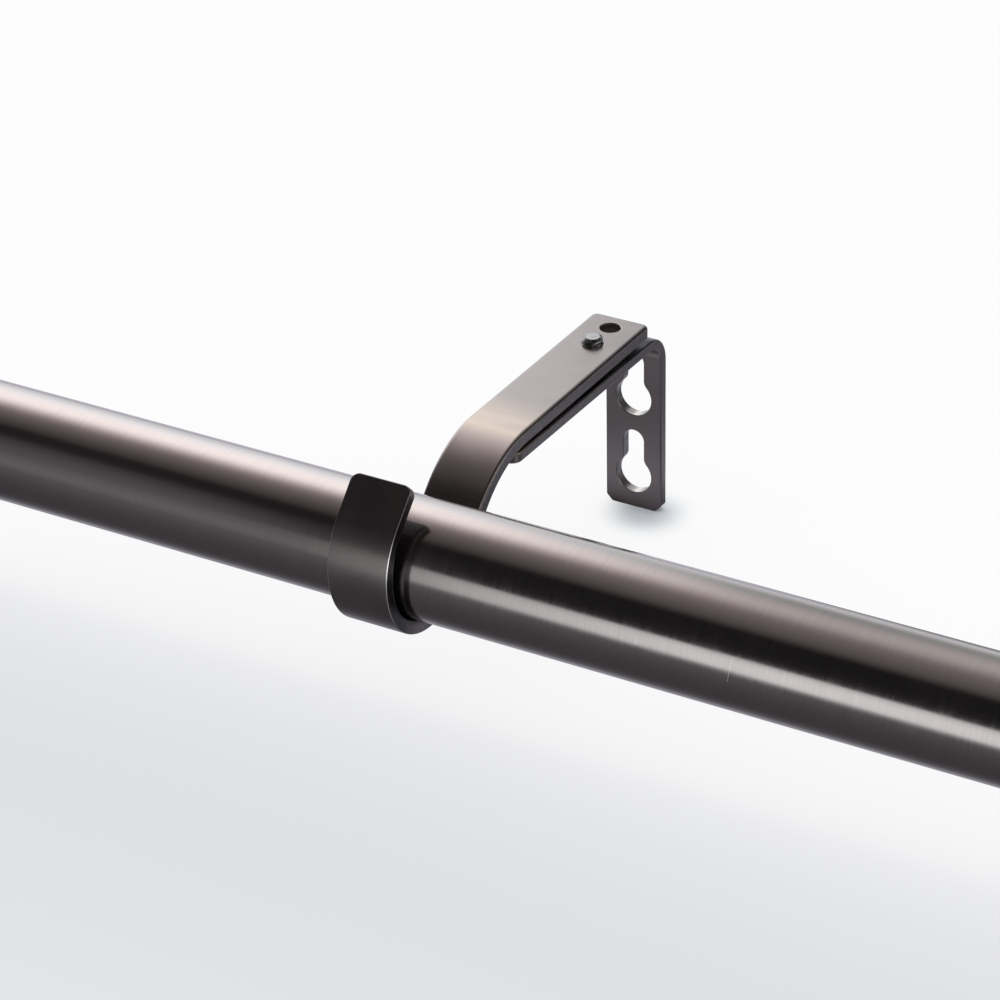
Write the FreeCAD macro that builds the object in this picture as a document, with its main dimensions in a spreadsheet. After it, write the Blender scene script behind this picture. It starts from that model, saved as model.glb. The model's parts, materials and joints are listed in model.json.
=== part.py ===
import FreeCAD, Part
import math
import os

import Sketcher

# Drapery rod: a telescoping steel rod that rests in two adjustable J-hook wall brackets.
# Millimetres, +Z up, +X along the rod, +Y into the wall.
# The origin is on the wall plane, at the centre of the left bracket's two keyholes.

DRIVING = {
    # Rod tubes
    "RodDiameter": 25.4,
    "OuterWall": 0.8,
    "OuterLength": 440.0,
    "TubeGap": 0.8,
    "InnerWall": 0.8,
    "InnerLength": 420.0,
    "InnerShowing": 24.0,
    "StopGap": 1.0,
    "TubeEdge": 0.3,
    "LeftOverhang": 120.0,
    # Guides between the two tubes
    "SlideGap": 0.06,
    "PressGap": 0.02,
    "MouthLength": 18.0,
    "MouthRim": 1.6,
    "GuideLength": 14.0,
    "GuideRim": 4.0,
    "GuideWall": 1.4,
    # Tube plugs and end caps
    "PlugLength": 16.0,
    "PlugRim": 1.2,
    "StudDiameter": 6.0,
    "StudLength": 12.0,
    "ThreadGap": 0.05,
    "CapLength": 8.0,
    "CapProud": 0.8,
    "CapEdge": 2.0,
    "CapDome": 0.8,
    # Where the rod hangs
    "RodProjection": 103.9,
    "RodHeight": 22.05,
    "MouthOverhang": 50.0,
    # Hook arm, bent from one strap
    "ArmWidth": 14.2,
    "ArmThickness": 3.0,
    "HookClearance": 1.6,
    "LipLean": 46.0,
    "LipLength": 9.3,
    "RampSlope": 45.0,
    "RampLength": 16.0,
    "BendRadius": 27.5,
    "ArmRearGap": 7.8,
    "LipCorner": 2.0,
    "ArmCorner": 1.5,
    "ArmTopEdge": 0.9,
    "ArmUnderEdge": 0.25,
    # Wall bracket, bent from a thinner strap
    "PlateWidth": 14.4,
    "PlateThickness": 2.5,
    "PlateFoot": 18.4,
    "PlateCorner": 1.7,
    "PlateEdge": 0.45,
    "BracketBend": 5.0,
    "TongueRise": 0.8,
    "TongueOverlap": 5.4,
    "TongueCorner": 2.5,
    "SeatGap": 0.2,
    "KeyholePitch": 20.2,
    "KeyholeEntry": 9.0,
    "KeyholeSlot": 5.2,
    "KeyholeRise": 9.1,
    "KeyholeNeck": 2.5,
    "PunchEdge": 0.25,
    # Clamp screw and the holes that take it
    "ScrewDiameter": 4.5,
    "TappedHole": 4.6,
    "HoleEdge": 0.3,
    "ScrewSetback": 21.5,
    "HolePitch": 8.2,
    "ScrewProud": 1.6,
    "ScrewPoint": 0.6,
    "ScrewHead": 8.4,
    "ScrewHeadHeight": 2.6,
    "ScrewHeadEdge": 1.2,
    "RecessWidth": 1.1,
    "RecessSpan": 4.2,
    "RecessDepth": 1.5,
    "WasherDiameter": 10.0,
    "WasherThickness": 0.8,
    "WasherGap": 0.15,
    "WasherBore": 5.3,
    "SlotWidth": 5.6,
    "ProjectionTravel": 25.0,
}

DEGREES = "1 deg"
EDGE_TOLERANCE = 1e-4


class Size:
    """A length that carries its value and the expression that works it out from the sheet."""

    def __init__(self, value, text):
        self.value = float(value)
        self.text = text

    @staticmethod
    def of(other):
        return other if isinstance(other, Size) else Size(other, repr(float(other)))

    def join(self, other, value, sign):
        return Size(value, f"({self.text} {sign} {other.text})")

    def __add__(self, other):
        other = Size.of(other)
        return self.join(other, self.value + other.value, "+")

    def __sub__(self, other):
        other = Size.of(other)
        return self.join(other, self.value - other.value, "-")

    def __mul__(self, other):
        other = Size.of(other)
        return self.join(other, self.value * other.value, "*")

    def __truediv__(self, other):
        other = Size.of(other)
        return self.join(other, self.value / other.value, "/")

    def __neg__(self):
        return Size(-self.value, f"(0 - {self.text})")

    def root(self):
        return Size(math.sqrt(self.value), f"sqrt({self.text})")

    def sine(self):
        return Size(math.sin(math.radians(self.value)), f"sin({self.text} * {DEGREES})")

    def cosine(self):
        return Size(math.cos(math.radians(self.value)), f"cos({self.text} * {DEGREES})")

    def or_more(self, other):
        return Size(max(self.value, other.value), f"max({self.text}; {other.text})")


ZERO = Size(0.0, "0")
doc = FreeCAD.newDocument("DraperyRod")


def fill_sheet():
    """The driving dimensions, one named cell each."""
    sheet = doc.addObject("Spreadsheet::Sheet", "Sizes")
    for row, (alias, number) in enumerate(DRIVING.items(), start=1):
        sheet.set(f"A{row}", alias)
        sheet.set(f"B{row}", str(number))
        sheet.setAlias(f"B{row}", alias)
    doc.recompute()
    return {alias: Size(sheet.get(alias), f"Sizes.{alias}") for alias in DRIVING}


S = fill_sheet()

# Sizes that several pieces share
rod_radius = S["RodDiameter"] / 2
outer_bore = S["RodDiameter"] - S["OuterWall"] * 2
inner_diameter = outer_bore - S["TubeGap"] * 2
inner_bore = inner_diameter - S["InnerWall"] * 2
left_end_x = -S["LeftOverhang"]
mouth_x = left_end_x + S["OuterLength"]
right_bracket_x = mouth_x - S["MouthOverhang"]
rod_y = -S["RodProjection"]
rod_z = S["RodHeight"]

# The rod is closed until this much of the inner tube shows, or its guide is near the left plug
closed_x = mouth_x + S["MouthRim"] + S["InnerShowing"]
stopped_x = left_end_x + S["PlugLength"] + S["StopGap"] + S["GuideRim"] + S["InnerLength"]
inner_end_x = closed_x.or_more(stopped_x)
inner_start_x = inner_end_x - S["InnerLength"]

# The hook arm's bent path: hook, ramp and bend, up to its flat rear stretch
hook_radius = rod_radius + S["HookClearance"]
hook_z = rod_z + S["HookClearance"]
ramp_sine = S["RampSlope"].sine()
ramp_cosine = S["RampSlope"].cosine()
bend_y = rod_y + hook_radius * ramp_sine + S["RampLength"] * ramp_cosine + S["BendRadius"] * ramp_sine
bend_z = hook_z - (hook_radius + S["BendRadius"]) * ramp_cosine + S["RampLength"] * ramp_sine
arm_top = bend_z + S["BendRadius"]
arm_under = arm_top - S["ArmThickness"]
arm_rear_y = -S["ArmRearGap"]

# The wall bracket's tongue: it rises slightly towards its front end, which lies under the arm's bend
rise_sine = S["TongueRise"].sine()
rise_cosine = S["TongueRise"].cosine()
under_radius = S["BendRadius"] - S["ArmThickness"]
bend_drop = under_radius - (under_radius * under_radius - S["TongueOverlap"] * S["TongueOverlap"]).root()
tongue_front_y = bend_y - S["TongueOverlap"]
tongue_front_z = arm_under - bend_drop - S["SeatGap"]
outer_bend = S["BracketBend"] + S["PlateThickness"]


def tongue_top_at(y):
    """Height of the tongue's top face at a given distance from the wall."""
    return tongue_front_z - (y - tongue_front_y) * rise_sine / rise_cosine


bracket_bend_y = -outer_bend
bracket_bend_z = tongue_top_at(bracket_bend_y + outer_bend * rise_sine) - outer_bend * rise_cosine

# The clamp screw stands under the tongue, its washer clear of the tongue's lowest point
screw_y = -S["ScrewSetback"]
washer_rear_y = screw_y + S["WasherDiameter"] / 2
tongue_under_z = tongue_top_at(washer_rear_y) - S["PlateThickness"] / rise_cosine
washer_z = tongue_under_z - S["WasherGap"] - S["WasherThickness"]
screw_z = washer_z - S["ScrewHeadHeight"]
screw_length = arm_top + S["ScrewProud"] - screw_z


def origin_plane(body, role):
    """One of the body's own origin planes."""
    return next(item for item in body.Origin.OriginFeatures if item.Role == role)


def new_sketch(body, name, role):
    """An empty sketch on one of the body's origin planes."""
    sketch = body.newObject("Sketcher::SketchObject", f"{body.Name}_{name}")
    sketch.AttachmentSupport = (origin_plane(body, role), [""])
    sketch.MapMode = "FlatFace"
    return sketch


def bind(sketch, kind, *where, size):
    """A dimension in the sketch, bound to the sheet."""
    index = sketch.addConstraint(Sketcher.Constraint(kind, *where, size.value))
    sketch.setExpression(f"Constraints[{index}]", size.text)


def pin_point(sketch, item, point, across, up):
    """Hold one point of the sketch at a place measured from its origin."""
    bind(sketch, "DistanceX", -1, 1, item, point, size=across)
    bind(sketch, "DistanceY", -1, 1, item, point, size=up)


def angle_at(centre, point):
    return math.atan2(point[1].value - centre[1].value, point[0].value - centre[0].value)


def vector(point):
    return FreeCAD.Vector(point[0].value, point[1].value, 0)


def add_outline(sketch, corners, arcs):
    """A closed outline of lines, and of arcs where `arcs` has the corner's number: centre, radius, turn."""
    ends = []
    for index, corner in enumerate(corners):
        following = corners[(index + 1) % len(corners)]
        if index not in arcs:
            ends.append((sketch.addGeometry(Part.LineSegment(vector(corner), vector(following))), 1, 2))
            continue
        centre, radius, turn = arcs[index]
        circle = Part.Circle(vector(centre), FreeCAD.Vector(0, 0, 1), radius.value)
        angles = [angle_at(centre, corner), angle_at(centre, following)][::turn]
        item = sketch.addGeometry(Part.ArcOfCircle(circle, *angles))
        ends.append((item, 1, 2) if turn > 0 else (item, 2, 1))
    for index, (item, first, last) in enumerate(ends):
        next_item, next_first, _ = ends[(index + 1) % len(ends)]
        sketch.addConstraint(Sketcher.Constraint("Coincident", item, last, next_item, next_first))
        pin_point(sketch, item, first, *corners[index])
        if index in arcs:
            bind(sketch, "Radius", item, size=arcs[index][1])


def add_circle(sketch, centre, radius):
    circle = Part.Circle(vector(centre), FreeCAD.Vector(0, 0, 1), radius.value)
    item = sketch.addGeometry(circle)
    pin_point(sketch, item, 3, *centre)
    bind(sketch, "Radius", item, size=radius)


def new_body(name, x=ZERO, y=ZERO, z=ZERO, turn=0.0):
    """A body of its own for one piece, at its place on the object."""
    body = doc.addObject("PartDesign::Body", name)
    body.Label = name
    rotation = FreeCAD.Rotation(FreeCAD.Vector(0, 0, 1), turn)
    body.Placement = FreeCAD.Placement(FreeCAD.Vector(x.value, y.value, z.value), rotation)
    for axis, size in (("x", x), ("y", y), ("z", z)):
        body.setExpression(f"Placement.Base.{axis}", size.text)
    return body


def pad(body, sketch, length):
    """Material on both sides of the sketch's plane."""
    feature = body.newObject("PartDesign::Pad", f"{body.Name}_pad")
    feature.Profile = sketch
    feature.SideType = "Symmetric"
    feature.Length = length.value
    feature.setExpression("Length", length.text)
    return feature


def cut_through(body, sketch, name):
    """A hole right through, both ways from the sketch's plane."""
    doc.recompute()
    before = body.Shape.Volume
    feature = body.newObject("PartDesign::Pocket", f"{body.Name}_{name}")
    feature.Profile = sketch
    feature.Type = "ThroughAll"
    feature.SideType = "Symmetric"
    doc.recompute()
    if body.Shape.Volume >= before:
        raise RuntimeError(f"{body.Label}: {name} cut nothing")


def cut_recess(body, sketch, depth, name):
    """A blind recess into the material above the sketch's plane."""
    doc.recompute()
    before = body.Shape.Volume
    feature = body.newObject("PartDesign::Pocket", f"{body.Name}_{name}")
    feature.Profile = sketch
    feature.Type = "Length"
    feature.Reversed = True
    feature.Length = depth.value
    feature.setExpression("Length", depth.text)
    doc.recompute()
    if body.Shape.Volume >= before:
        raise RuntimeError(f"{body.Label}: {name} cut nothing")


def revolve(body, corners, arcs, role="XY_Plane", axis="H_Axis"):
    """A turned piece: an outline spun about the sketch's own axis."""
    sketch = new_sketch(body, "profile", role)
    add_outline(sketch, corners, arcs)
    feature = body.newObject("PartDesign::Revolution", f"{body.Name}_turning")
    feature.Profile = sketch
    feature.ReferenceAxis = (sketch, [axis])
    return feature


def work_edges(body, kind, measure, size, name, wanted):
    """A fillet or chamfer on the edges that `wanted` picks from the body's last feature."""
    doc.recompute()
    base = body.Tip
    picked = [f"Edge{n}" for n, edge in enumerate(base.Shape.Edges, start=1) if wanted(edge)]
    feature = body.newObject(f"PartDesign::{kind}", f"{body.Name}_{name}")
    feature.Base = (base, picked)
    setattr(feature, measure, size.value)
    feature.setExpression(measure, size.text)
    doc.recompute()


def round_edges(body, radius, name, wanted):
    work_edges(body, "Fillet", "Radius", radius, name, wanted)


def break_edges(body, size, name, wanted):
    work_edges(body, "Chamfer", "Size", size, name, wanted)


def halfway(first, last):
    """The point between two points of a side view."""
    return ((first[0] + last[0]) / 2, (first[1] + last[1]) / 2)


def is_corner(middle, width):
    """Picks a strap end's two corners: the edges through its thickness, with this middle in the side view."""
    corner = FreeCAD.Vector(width.value / 2, middle[0].value, middle[1].value)

    def wanted(edge):
        first, last = edge.Vertexes[0].Point, edge.Vertexes[-1].Point
        place = (first + last) / 2
        return FreeCAD.Vector(abs(place.x), place.y, place.z).distanceToPoint(corner) < EDGE_TOLERANCE

    return wanted


def on_strap_side(width):
    """Picks every edge that lies in one of the strap's two side faces."""

    def wanted(edge):
        box = edge.BoundBox
        flat = box.XLength < EDGE_TOLERANCE
        return flat and abs(abs(box.Center.x) - width.value / 2) < EDGE_TOLERANCE

    return wanted


def along_side_at(height, width):
    """Picks the level edges of the strap's side faces at this height; rounding follows on round the bends."""
    in_side = on_strap_side(width)

    def wanted(edge):
        box = edge.BoundBox
        level = box.ZLength < EDGE_TOLERANCE and abs(box.Center.z - height.value) < EDGE_TOLERANCE
        return level and in_side(edge)

    return wanted


def in_front_face(y, z_low, z_high, width):
    """Picks the edges of the holes in an upright face, clear of the strap's own outline."""

    def wanted(edge):
        box = edge.BoundBox
        inside = -width.value / 2 < box.XMin and box.XMax < width.value / 2
        level = box.YLength < EDGE_TOLERANCE and abs(box.Center.y - y.value) < EDGE_TOLERANCE
        return inside and level and z_low.value < box.ZMin and box.ZMax < z_high.value

    return wanted


def is_rim(radius, height):
    """Picks the round edges of this radius that lie level at this height."""

    def wanted(edge):
        curve = edge.Curve
        if not isinstance(curve, Part.Circle) or abs(curve.Radius - radius.value) > EDGE_TOLERANCE:
            return False
        return abs(curve.Center.z - height.value) < EDGE_TOLERANCE

    return wanted


def make_tube(name, x, length, diameter, wall):
    """A drawn steel tube, with a small break on its outer end edges."""
    body = new_body(name, x, rod_y, rod_z)
    outside = diameter / 2
    bore = outside - wall
    edge = S["TubeEdge"]
    corners = [
        (ZERO, bore),
        (length, bore),
        (length, outside - edge),
        (length - edge, outside),
        (edge, outside),
        (ZERO, outside - edge),
    ]
    revolve(body, corners, {})
    return body


def make_mouth_bush():
    """The collar pressed into the outer tube's mouth, which the inner tube slides through."""
    body = new_body("mouth_bush", mouth_x, rod_y, rod_z)
    bore = inner_diameter / 2 + S["SlideGap"]
    sleeve = outer_bore / 2 - S["PressGap"]
    edge = S["TubeEdge"]
    corners = [
        (-S["MouthLength"], bore),
        (S["MouthRim"], bore),
        (S["MouthRim"], rod_radius - edge),
        (S["MouthRim"] - edge, rod_radius),
        (ZERO, rod_radius),
        (ZERO, sleeve),
        (-S["MouthLength"], sleeve),
    ]
    revolve(body, corners, {})
    return body


def make_inner_guide():
    """The guide pressed into the inner tube's hidden end, which runs in the outer tube."""
    body = new_body("inner_guide", inner_start_x, rod_y, rod_z)
    spigot = inner_bore / 2 - S["PressGap"]
    bore = spigot - S["GuideWall"]
    rim = outer_bore / 2 - S["SlideGap"]
    corners = [
        (-S["GuideRim"], bore),
        (S["GuideLength"], bore),
        (S["GuideLength"], spigot),
        (ZERO, spigot),
        (ZERO, rim),
        (-S["GuideRim"], rim),
    ]
    revolve(body, corners, {})
    return body


def make_plug(name, x, turn, tube_diameter, bore):
    """A plug pressed into a tube's end, with a rim over the tube and a threaded bore for the cap's stud."""
    body = new_body(name, x, rod_y, rod_z, turn)
    spigot = bore / 2 - S["PressGap"]
    thread = S["StudDiameter"] / 2 + S["ThreadGap"]
    corners = [
        (-S["PlugLength"], thread),
        (S["PlugRim"], thread),
        (S["PlugRim"], tube_diameter / 2),
        (ZERO, tube_diameter / 2),
        (ZERO, spigot),
        (-S["PlugLength"], spigot),
    ]
    revolve(body, corners, {})
    return body


def make_cap(name, x, turn):
    """A turned end cap with a shallow dome, a rounded rim and its stud."""
    body = new_body(name, x, rod_y, rod_z, turn)
    stud = S["StudDiameter"] / 2
    rim = rod_radius + S["CapProud"]
    back = S["PlugRim"]
    face = back + S["CapLength"]
    edge = S["CapEdge"]
    flat = rim - edge
    dome = S["CapDome"]
    dome_radius = (flat * flat + dome * dome) / (dome * 2)
    corners = [
        (back - S["StudLength"], ZERO),
        (face + dome, ZERO),
        (face, flat),
        (face - edge, rim),
        (back, rim),
        (back, stud),
        (back - S["StudLength"], stud),
    ]
    arcs = {
        1: ((face + dome - dome_radius, ZERO), dome_radius, 1),
        2: ((face - edge, flat), edge, 1),
    }
    revolve(body, corners, arcs)
    return body


def arm_outline():
    """The hook arm's side view: tip, lip, hook, ramp, bend and the flat rear stretch."""
    thick = S["ArmThickness"]
    lean_sine = S["LipLean"].sine()
    lean_cosine = S["LipLean"].cosine()
    hook = (rod_y, hook_z)
    bend = (bend_y, bend_z)

    def on_ramp(centre, radius, side):
        return (centre[0] + radius * ramp_sine * side, centre[1] - radius * ramp_cosine * side)

    def on_lip(radius, along):
        return (
            rod_y - radius * lean_sine + along * lean_cosine,
            hook_z + radius * lean_cosine + along * lean_sine,
        )

    outside = hook_radius + thick
    corners = [
        (arm_rear_y, arm_top),
        (bend_y, arm_top),
        on_ramp(bend, S["BendRadius"], -1),
        on_ramp(hook, hook_radius, 1),
        on_lip(hook_radius, ZERO),
        on_lip(hook_radius, S["LipLength"]),
        on_lip(outside, S["LipLength"]),
        on_lip(outside, ZERO),
        on_ramp(hook, outside, 1),
        on_ramp(bend, under_radius, -1),
        (bend_y, arm_under),
        (arm_rear_y, arm_under),
    ]
    arcs = {
        1: (bend, S["BendRadius"], 1),
        3: (hook, hook_radius, -1),
        7: (hook, outside, 1),
        9: (bend, under_radius, -1),
    }
    return corners, arcs


def make_hook_arm(name, x):
    """The J-hook arm: one rounded strap, bent, with two tapped holes near its rear end."""
    body = new_body(name, x)
    profile = new_sketch(body, "side", "YZ_Plane")
    corners, arcs = arm_outline()
    add_outline(profile, corners, arcs)
    pad(body, profile, S["ArmWidth"])
    width = S["ArmWidth"]
    tip = halfway(corners[5], corners[6])
    rear = halfway(corners[-1], corners[0])
    round_edges(body, S["LipCorner"], "lip_corners", is_corner(tip, width))
    round_edges(body, S["ArmCorner"], "rear_corners", is_corner(rear, width))
    round_edges(body, S["ArmTopEdge"], "top_edges", along_side_at(arm_top, width))
    round_edges(body, S["ArmUnderEdge"], "under_edges", along_side_at(arm_under, width))
    holes = new_sketch(body, "holes", "XY_Plane")
    radius = S["TappedHole"] / 2
    add_circle(holes, (ZERO, screw_y), radius)
    add_circle(holes, (ZERO, screw_y + S["HolePitch"]), radius)
    cut_through(body, holes, "tapped_holes")
    round_edges(body, S["HoleEdge"], "hole_edges", is_rim(radius, arm_top))
    return body


def bracket_outline():
    """The wall bracket's side view: an upright plate, one bend and the tongue."""
    thick = S["PlateThickness"]
    bend = (bracket_bend_y, bracket_bend_z)
    foot = -S["PlateFoot"]

    def past_bend(radius):
        return (bend[0] + radius * rise_sine, bend[1] + radius * rise_cosine)

    corners = [
        (ZERO, foot),
        (ZERO, bracket_bend_z),
        past_bend(outer_bend),
        (tongue_front_y, tongue_front_z),
        (tongue_front_y - thick * rise_sine, tongue_front_z - thick * rise_cosine),
        past_bend(S["BracketBend"]),
        (-thick, bracket_bend_z),
        (-thick, foot),
    ]
    arcs = {
        1: (bend, outer_bend, 1),
        5: (bend, S["BracketBend"], -1),
    }
    return corners, arcs


def add_keyhole(sketch, centre_z):
    """A round entry for the screw's head, with rounded necks up into a slot for the shank."""
    entry = S["KeyholeEntry"] / 2
    slot = S["KeyholeSlot"] / 2
    neck = S["KeyholeNeck"]
    top_z = centre_z + S["KeyholeRise"]
    neck_x = slot + neck
    neck_rise = ((entry + neck) * (entry + neck) - neck_x * neck_x).root()
    neck_z = centre_z + neck_rise
    meet_x = neck_x * entry / (entry + neck)
    meet_z = centre_z + neck_rise * entry / (entry + neck)
    corners = [
        (meet_x, meet_z),
        (slot, neck_z),
        (slot, top_z),
        (ZERO, top_z + slot),
        (-slot, top_z),
        (-slot, neck_z),
        (-meet_x, meet_z),
    ]
    arcs = {
        0: ((neck_x, neck_z), neck, -1),
        2: ((ZERO, top_z), slot, 1),
        3: ((ZERO, top_z), slot, 1),
        5: ((-neck_x, neck_z), neck, -1),
        6: ((ZERO, centre_z), entry, 1),
    }
    add_outline(sketch, corners, arcs)


def make_wall_bracket(name, x):
    """The L-shaped wall bracket: two keyholes in its plate, a long slot in its tongue."""
    body = new_body(name, x)
    profile = new_sketch(body, "side", "YZ_Plane")
    corners, arcs = bracket_outline()
    add_outline(profile, corners, arcs)
    pad(body, profile, S["PlateWidth"])
    width = S["PlateWidth"]
    foot = halfway(corners[-1], corners[0])
    front = halfway(corners[3], corners[4])
    break_edges(body, S["PlateCorner"], "foot_corners", is_corner(foot, width))
    round_edges(body, S["TongueCorner"], "tongue_corners", is_corner(front, width))
    round_edges(body, S["PlateEdge"], "edges", on_strap_side(width))
    keyholes = new_sketch(body, "keyholes", "XZ_Plane")
    for side in (-1, 1):
        add_keyhole(keyholes, S["KeyholePitch"] / 2 * side)
    cut_through(body, keyholes, "keyholes")
    punched = in_front_face(-S["PlateThickness"], -S["PlateFoot"], bracket_bend_z, width)
    round_edges(body, S["PunchEdge"], "punch_edges", punched)
    slot = new_sketch(body, "slot", "XY_Plane")
    half = S["SlotWidth"] / 2
    rear_y = screw_y
    front_y = screw_y - S["ProjectionTravel"]
    slot_corners = [
        (half, front_y),
        (half, rear_y),
        (ZERO, rear_y + half),
        (-half, rear_y),
        (-half, front_y),
        (ZERO, front_y - half),
    ]
    slot_arcs = {
        1: ((ZERO, rear_y), half, 1),
        2: ((ZERO, rear_y), half, 1),
        4: ((ZERO, front_y), half, 1),
        5: ((ZERO, front_y), half, 1),
    }
    add_outline(slot, slot_corners, slot_arcs)
    cut_through(body, slot, "slot")
    return body


def make_clamp_screw(name, x):
    """A pan-head screw: its head under the tongue, its point standing out on top of the arm."""
    body = new_body(name, x, screw_y, screw_z)
    head = S["ScrewHead"] / 2
    shank = S["ScrewDiameter"] / 2
    height = S["ScrewHeadHeight"]
    edge = S["ScrewHeadEdge"]
    point = S["ScrewPoint"]
    corners = [
        (ZERO, ZERO),
        (head - edge, ZERO),
        (head, edge),
        (head, height),
        (shank, height),
        (shank, screw_length - point),
        (shank - point, screw_length),
        (ZERO, screw_length),
    ]
    arcs = {1: ((head - edge, edge), edge, 1)}
    revolve(body, corners, arcs, role="XZ_Plane", axis="V_Axis")
    cross = new_sketch(body, "cross", "XY_Plane")
    wide = S["RecessWidth"] / 2
    span = S["RecessSpan"] / 2
    cross_corners = [
        (wide, span),
        (-wide, span),
        (-wide, wide),
        (-span, wide),
        (-span, -wide),
        (-wide, -wide),
        (-wide, -span),
        (wide, -span),
        (wide, -wide),
        (span, -wide),
        (span, wide),
        (wide, wide),
    ]
    add_outline(cross, cross_corners, {})
    cut_recess(body, cross, S["RecessDepth"], "cross_recess")
    return body


def make_washer(name, x):
    """The plain washer between the screw's head and the slotted tongue."""
    body = new_body(name, x, screw_y, washer_z)
    outside = S["WasherDiameter"] / 2
    bore = S["WasherBore"] / 2
    thick = S["WasherThickness"]
    corners = [(bore, ZERO), (outside, ZERO), (outside, thick), (bore, thick)]
    revolve(body, corners, {}, role="XZ_Plane", axis="V_Axis")
    return body


def make_pieces():
    """Every piece of the rod, each a body with its own name."""
    pieces = [
        make_tube("outer_tube", left_end_x, S["OuterLength"], S["RodDiameter"], S["OuterWall"]),
        make_tube("inner_tube", inner_start_x, S["InnerLength"], inner_diameter, S["InnerWall"]),
        make_mouth_bush(),
        make_inner_guide(),
        make_plug("left_plug", left_end_x, 180, S["RodDiameter"], outer_bore),
        make_plug("right_plug", inner_end_x, 0, inner_diameter, inner_bore),
        make_cap("left_end_cap", left_end_x, 180),
        make_cap("right_end_cap", inner_end_x, 0),
    ]
    for side, x in (("left", ZERO), ("right", right_bracket_x)):
        pieces.append(make_wall_bracket(f"{side}_wall_bracket", x))
        pieces.append(make_hook_arm(f"{side}_hook_arm", x))
        pieces.append(make_clamp_screw(f"{side}_clamp_screw", x))
        pieces.append(make_washer(f"{side}_washer", x))
    return pieces


def check_document(pieces):
    """Stop if any object failed, or any piece isn't a valid solid."""
    doc.recompute()
    for item in doc.Objects:
        if {"Invalid", "Error"} & set(item.State):
            raise RuntimeError(f"{item.Label}: {item.State}")
    for piece in pieces:
        shape = piece.Shape
        if shape.isNull() or not shape.isValid() or len(shape.Solids) != 1:
            raise RuntimeError(f"{piece.Label}: not one valid solid")


def write_parts(pieces):
    os.makedirs("parts", exist_ok=True)
    for piece in pieces:
        piece.Shape.exportStep(f"parts/{piece.Label}.step")
        box = piece.Shape.BoundBox
        print(
            f"{piece.Label}: x {box.XMin:.2f}..{box.XMax:.2f} y {box.YMin:.2f}..{box.YMax:.2f}"
            f" z {box.ZMin:.2f}..{box.ZMax:.2f} volume {piece.Shape.Volume:.1f}"
        )


pieces = make_pieces()
check_document(pieces)
write_parts(pieces)
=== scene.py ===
import json
import math

import bmesh
import bpy
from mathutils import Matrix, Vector


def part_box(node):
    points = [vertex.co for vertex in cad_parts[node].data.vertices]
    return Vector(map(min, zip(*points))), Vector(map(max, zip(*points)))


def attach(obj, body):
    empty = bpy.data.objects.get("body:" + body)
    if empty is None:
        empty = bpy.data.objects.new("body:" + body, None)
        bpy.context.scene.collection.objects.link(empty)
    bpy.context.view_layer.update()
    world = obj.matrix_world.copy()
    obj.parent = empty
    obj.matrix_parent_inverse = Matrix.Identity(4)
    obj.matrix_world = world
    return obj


# The looks of a telescoping drapery rod in its two J-hook wall brackets.
# Metres, +Z up, +X along the rod, +Y into the wall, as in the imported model.

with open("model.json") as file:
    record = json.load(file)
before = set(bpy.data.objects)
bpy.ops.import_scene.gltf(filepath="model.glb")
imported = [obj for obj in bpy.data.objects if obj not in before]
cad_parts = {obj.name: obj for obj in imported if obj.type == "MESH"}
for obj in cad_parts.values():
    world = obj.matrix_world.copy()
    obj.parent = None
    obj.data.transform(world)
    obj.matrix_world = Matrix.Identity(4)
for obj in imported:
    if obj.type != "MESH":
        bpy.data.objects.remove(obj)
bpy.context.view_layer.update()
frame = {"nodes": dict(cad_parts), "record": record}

MM = 0.001


def middle(node):
    """The centre of a node's box."""
    low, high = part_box(node)
    return (low + high) / 2


rod_axis = middle("outer_tube")
clamp_screw = middle("left_clamp_screw")
plate_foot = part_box("left_wall_bracket")[0].z
tongue_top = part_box("left_wall_bracket")[1].z
bracket_spacing = middle("right_wall_bracket").x - middle("left_wall_bracket").x


# Node helpers


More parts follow.
